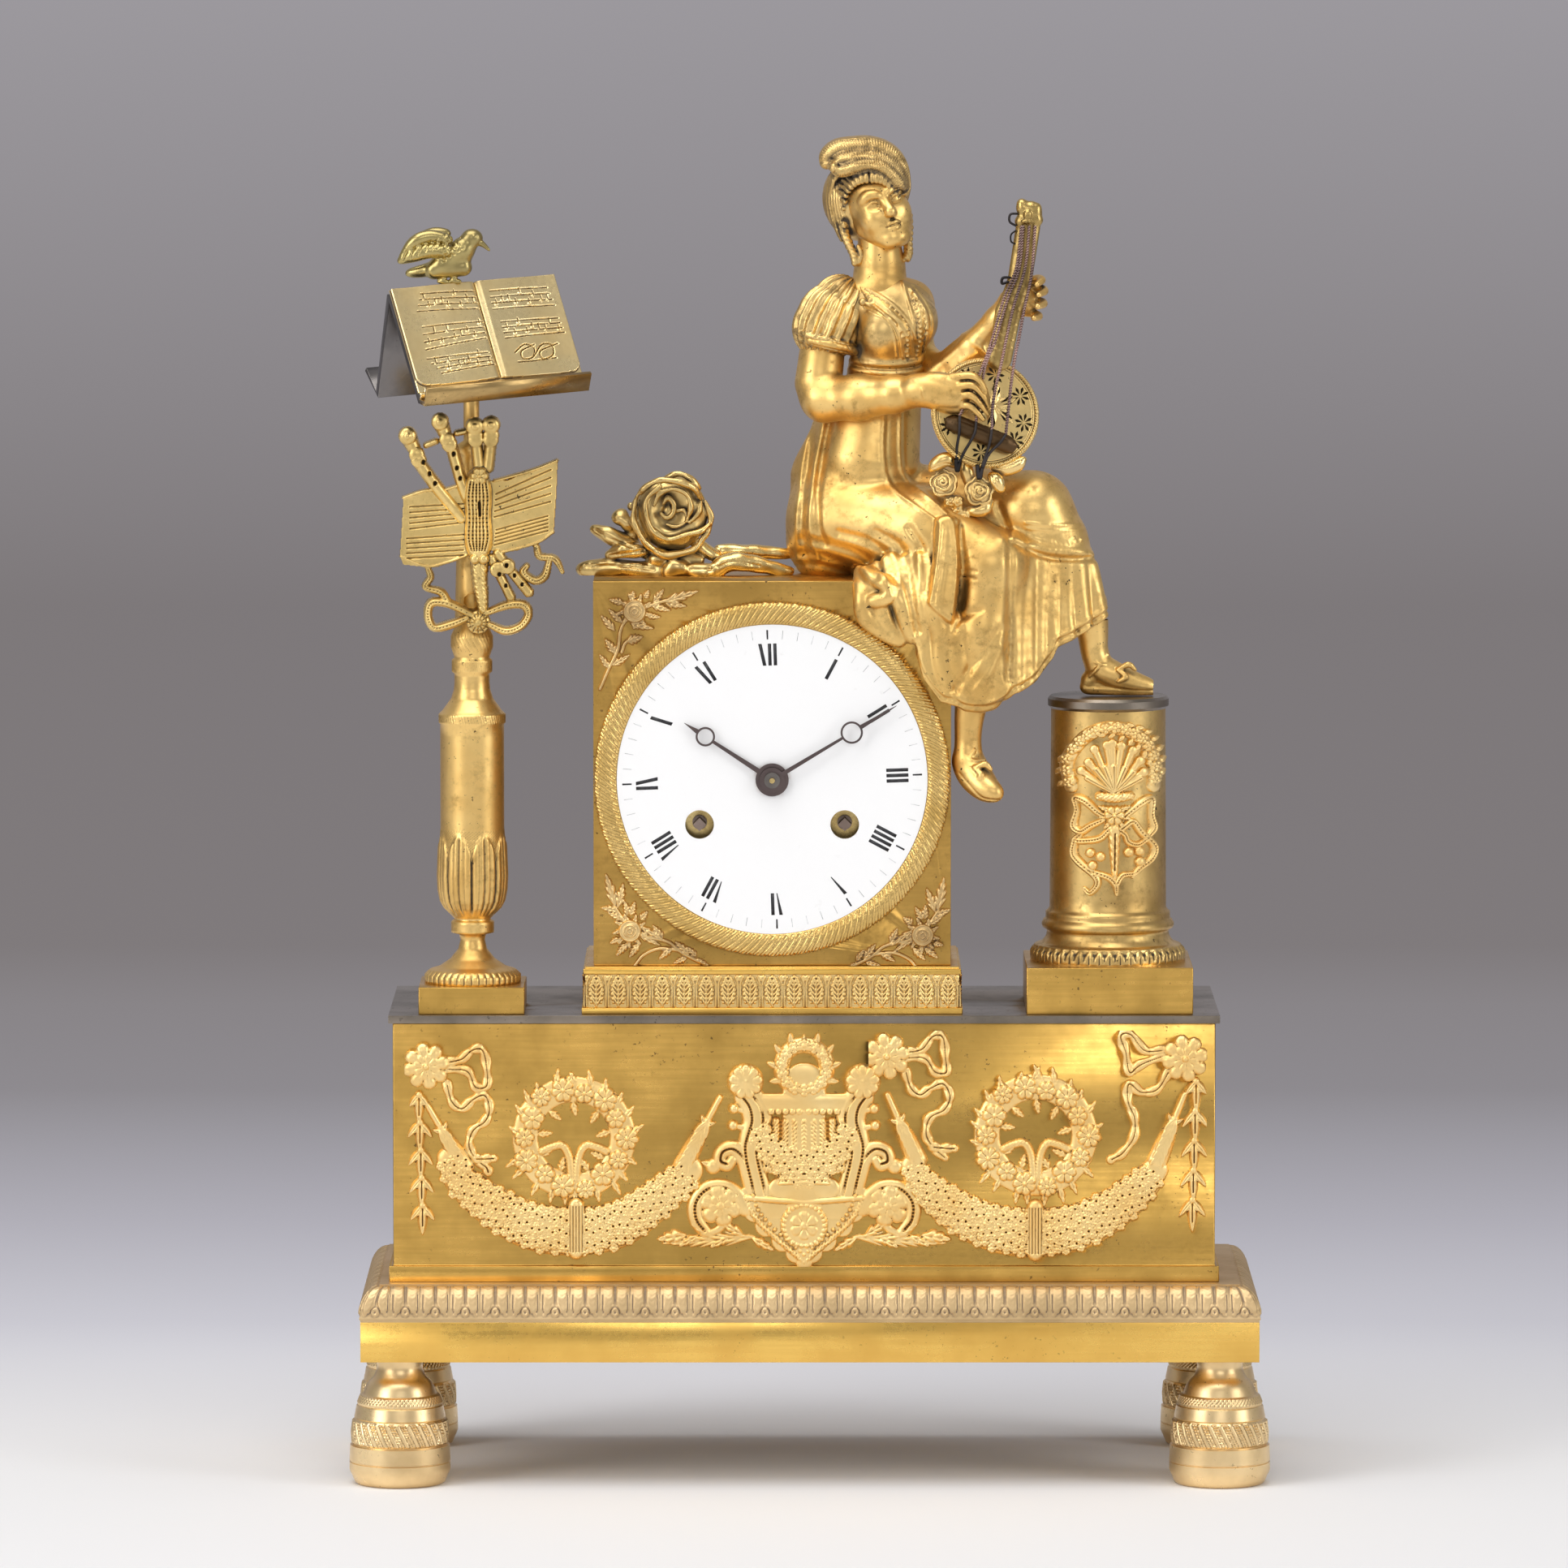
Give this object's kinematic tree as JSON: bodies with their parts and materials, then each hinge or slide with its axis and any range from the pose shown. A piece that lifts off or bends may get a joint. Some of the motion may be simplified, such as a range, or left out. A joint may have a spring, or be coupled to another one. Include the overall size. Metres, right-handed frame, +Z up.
{
  "type": "ormolu mantel clock",
  "caption": "Gilt bronze mantel clock on a long footed base, with a seated figure playing a guitar, a column, a music stand and a striking drum movement.",
  "frame": {"origin": "on the floor, at the middle of the rectangle that the four feet stand in", "axes": "+X to the right as seen from the front, +Y to the back, +Z up; the dial looks towards -Y"},
  "size_m": [0.257, 0.102, 0.3744],
  "materials": {
    "antique_gilt": "turned and gilt brass, darkened in the hollows",
    "bright_gilt": "bright fire gilding on brushed brass",
    "leaf_gilt": "cast and gilt, grey in the recesses",
    "brushed_gilt": "brushed sheet brass, thinly gilt",
    "dark_plate": "darkened bronze",
    "matte_gilt": "cast, chased and matte gilt",
    "satin_gilt": "cast, chased and satin gilt",
    "pale_gilt": "pale gilding with fine engraving",
    "patinated_gilt": "gilding worn to dark bronze",
    "white_enamel": "vitreous enamel on copper",
    "movement_brass": "polished clock brass",
    "movement_steel": "polished steel",
    "blued_steel": "dark blued steel",
    "bell_metal": "polished bell metal",
    "dark_wire": "twisted copper wire, dark"
  },
  "bodies": {
    "clock": {"feet": "antique_gilt", "fixing_nuts": "movement_steel", "base_frame": "bright_gilt", "leaf_moulding": "leaf_gilt", "frieze_box": "brushed_gilt", "top_plate": "dark_plate", "garland_mount_left": "matte_gilt", "garland_mount_right": "matte_gilt", "lyre_mount": "matte_gilt", "case_plinth": "bright_gilt", "case_shell": "brushed_gilt", "corner_mounts": "matte_gilt", "bezel": "bright_gilt", "dial": "white_enamel", "movement_drum": "movement_brass", "front_plate": "movement_brass", "back_plate": "movement_brass", "plate_pillars": "movement_brass", "suspension_cock": "movement_brass", "bell": "bell_metal", "rear_ring": "bright_gilt", "figure_dress": "satin_gilt", "figure_head": "satin_gilt", "figure_arm_right": "satin_gilt", "figure_arm_left": "satin_gilt", "figure_feet": "satin_gilt", "guitar_body": "pale_gilt", "guitar_neck": "pale_gilt", "guitar_strings": "dark_wire", "rose_branch": "patinated_gilt", "column_block": "brushed_gilt", "column_shaft": "satin_gilt", "column_cap": "dark_plate", "column_mount": "matte_gilt", "stand_block": "brushed_gilt", "stand_baluster": "satin_gilt", "music_desk": "pale_gilt", "bird": "patinated_gilt", "stand_trophy": "matte_gilt"},
    "minute_hands": {"minute_hand": "blued_steel", "hand_collet": "blued_steel"},
    "hour_hands": {"hour_hand": "blued_steel", "hour_wheel": "movement_brass"},
    "minute_wheel": {"minute_wheel": "movement_brass"},
    "going_barrel": {"going_barrel": "movement_brass"},
    "going_arbor": {"going_arbor": "movement_steel"},
    "strike_barrel": {"strike_barrel": "movement_brass"},
    "strike_arbor": {"strike_arbor": "movement_steel"},
    "intermediate_wheel": {"intermediate_wheel": "movement_brass"},
    "centre_wheel": {"centre_wheel": "movement_brass"},
    "third_wheel": {"third_wheel": "movement_brass"},
    "escape_wheel": {"escape_wheel": "movement_brass"},
    "pallet_anchor": {"pallet_anchor": "movement_steel"},
    "strike_wheel": {"strike_wheel": "movement_brass", "count_wheel": "movement_brass"},
    "pin_wheel": {"pin_wheel": "movement_brass"},
    "pendulum": {"pendulum_rod": "movement_steel", "pendulum_bob": "movement_brass"},
    "bell_hammer": {"bell_hammer": "movement_steel"},
    "rear_cover": {"rear_cover": "bright_gilt"}
  },
  "joints": [
    {"name": "minute_hand_turn", "type": "hinge", "parent": "clock", "child": "minute_hands", "pos_m": [-0.0105, -0.032, 0.1967], "axis": [0, 1, 0], "continuous": true},
    {"name": "hour_hand_turn", "type": "hinge", "parent": "clock", "child": "hour_hands", "pos_m": [-0.0105, -0.032, 0.1967], "axis": [0, 1, 0], "continuous": true},
    {"name": "minute_wheel_turn", "type": "hinge", "parent": "clock", "child": "minute_wheel", "pos_m": [-0.00264, -0.026, 0.20221], "axis": [0, 1, 0], "continuous": true},
    {"name": "escape_wheel_turn", "type": "hinge", "parent": "clock", "child": "escape_wheel", "pos_m": [-0.0105, -0.012, 0.21511], "axis": [0, 1, 0], "continuous": true},
    {"name": "third_wheel_turn", "type": "hinge", "parent": "clock", "child": "third_wheel", "pos_m": [-0.01641, -0.012, 0.20695], "axis": [0, 1, 0], "continuous": true},
    {"name": "centre_wheel_turn", "type": "hinge", "parent": "clock", "child": "centre_wheel", "pos_m": [-0.0105, -0.012, 0.1967], "axis": [0, 1, 0], "continuous": true},
    {"name": "intermediate_wheel_turn", "type": "hinge", "parent": "clock", "child": "intermediate_wheel", "pos_m": [0.00171, -0.012, 0.19982], "axis": [0, 1, 0], "continuous": true},
    {"name": "going_barrel_turn", "type": "hinge", "parent": "clock", "child": "going_barrel", "pos_m": [0.0097, -0.012, 0.1841], "axis": [0, 1, 0], "continuous": true},
    {"name": "strike_barrel_turn", "type": "hinge", "parent": "clock", "child": "strike_barrel", "pos_m": [-0.0307, -0.012, 0.1841], "axis": [0, 1, 0], "continuous": true},
    {"name": "strike_wheel_turn", "type": "hinge", "parent": "clock", "child": "strike_wheel", "pos_m": [-0.03224, -0.012, 0.20167], "axis": [0, 1, 0], "continuous": true},
    {"name": "pin_wheel_turn", "type": "hinge", "parent": "clock", "child": "pin_wheel", "pos_m": [-0.03436, -0.012, 0.21373], "axis": [0, 1, 0], "continuous": true},
    {"name": "going_winding", "type": "hinge", "parent": "clock", "child": "going_arbor", "pos_m": [0.0097, -0.012, 0.1841], "axis": [0, 1, 0], "range_deg": [0, 1440]},
    {"name": "strike_winding", "type": "hinge", "parent": "clock", "child": "strike_arbor", "pos_m": [-0.0307, -0.012, 0.1841], "axis": [0, 1, 0], "range_deg": [0, 1440]},
    {"name": "pendulum_swing", "type": "hinge", "parent": "clock", "child": "pendulum", "pos_m": [-0.0105, 0.0048, 0.22718], "axis": [0, 1, 0], "range_deg": [-4, 4]},
    {"name": "pallet_anchor_rock", "type": "hinge", "parent": "clock", "child": "pallet_anchor", "pos_m": [-0.0105, -0.012, 0.22718], "axis": [0, 1, 0], "range_deg": [-4, 4]},
    {"name": "bell_hammer_lift", "type": "hinge", "parent": "clock", "child": "bell_hammer", "pos_m": [-0.04366, 0.0048, 0.21143], "axis": [0, 1, 0], "range_deg": [0, 12], "stiffness_Nm_per_rad": 0.02, "springref_deg": -2.86},
    {"name": "rear_cover_hinge", "type": "hinge", "parent": "clock", "child": "rear_cover", "pos_m": [0.0379, 0.0212, 0.1967], "axis": [0, 0, -1], "range_deg": [0, 110]}
  ],
  "couplings": [
    {"joint": "hour_hand_turn", "follows": "minute_hand_turn", "ratio": 0.083333},
    {"joint": "minute_wheel_turn", "follows": "minute_hand_turn", "ratio": -0.33333},
    {"joint": "third_wheel_turn", "follows": "escape_wheel_turn", "ratio": -0.076923},
    {"joint": "centre_wheel_turn", "follows": "escape_wheel_turn", "ratio": 0.0064103},
    {"joint": "intermediate_wheel_turn", "follows": "escape_wheel_turn", "ratio": -0.0010684},
    {"joint": "going_barrel_turn", "follows": "escape_wheel_turn", "ratio": 0.00017806},
    {"joint": "strike_wheel_turn", "follows": "strike_barrel_turn", "ratio": -6},
    {"joint": "pin_wheel_turn", "follows": "strike_barrel_turn", "ratio": 45},
    {"joint": "pallet_anchor_rock", "follows": "pendulum_swing", "ratio": 1}
  ]
}
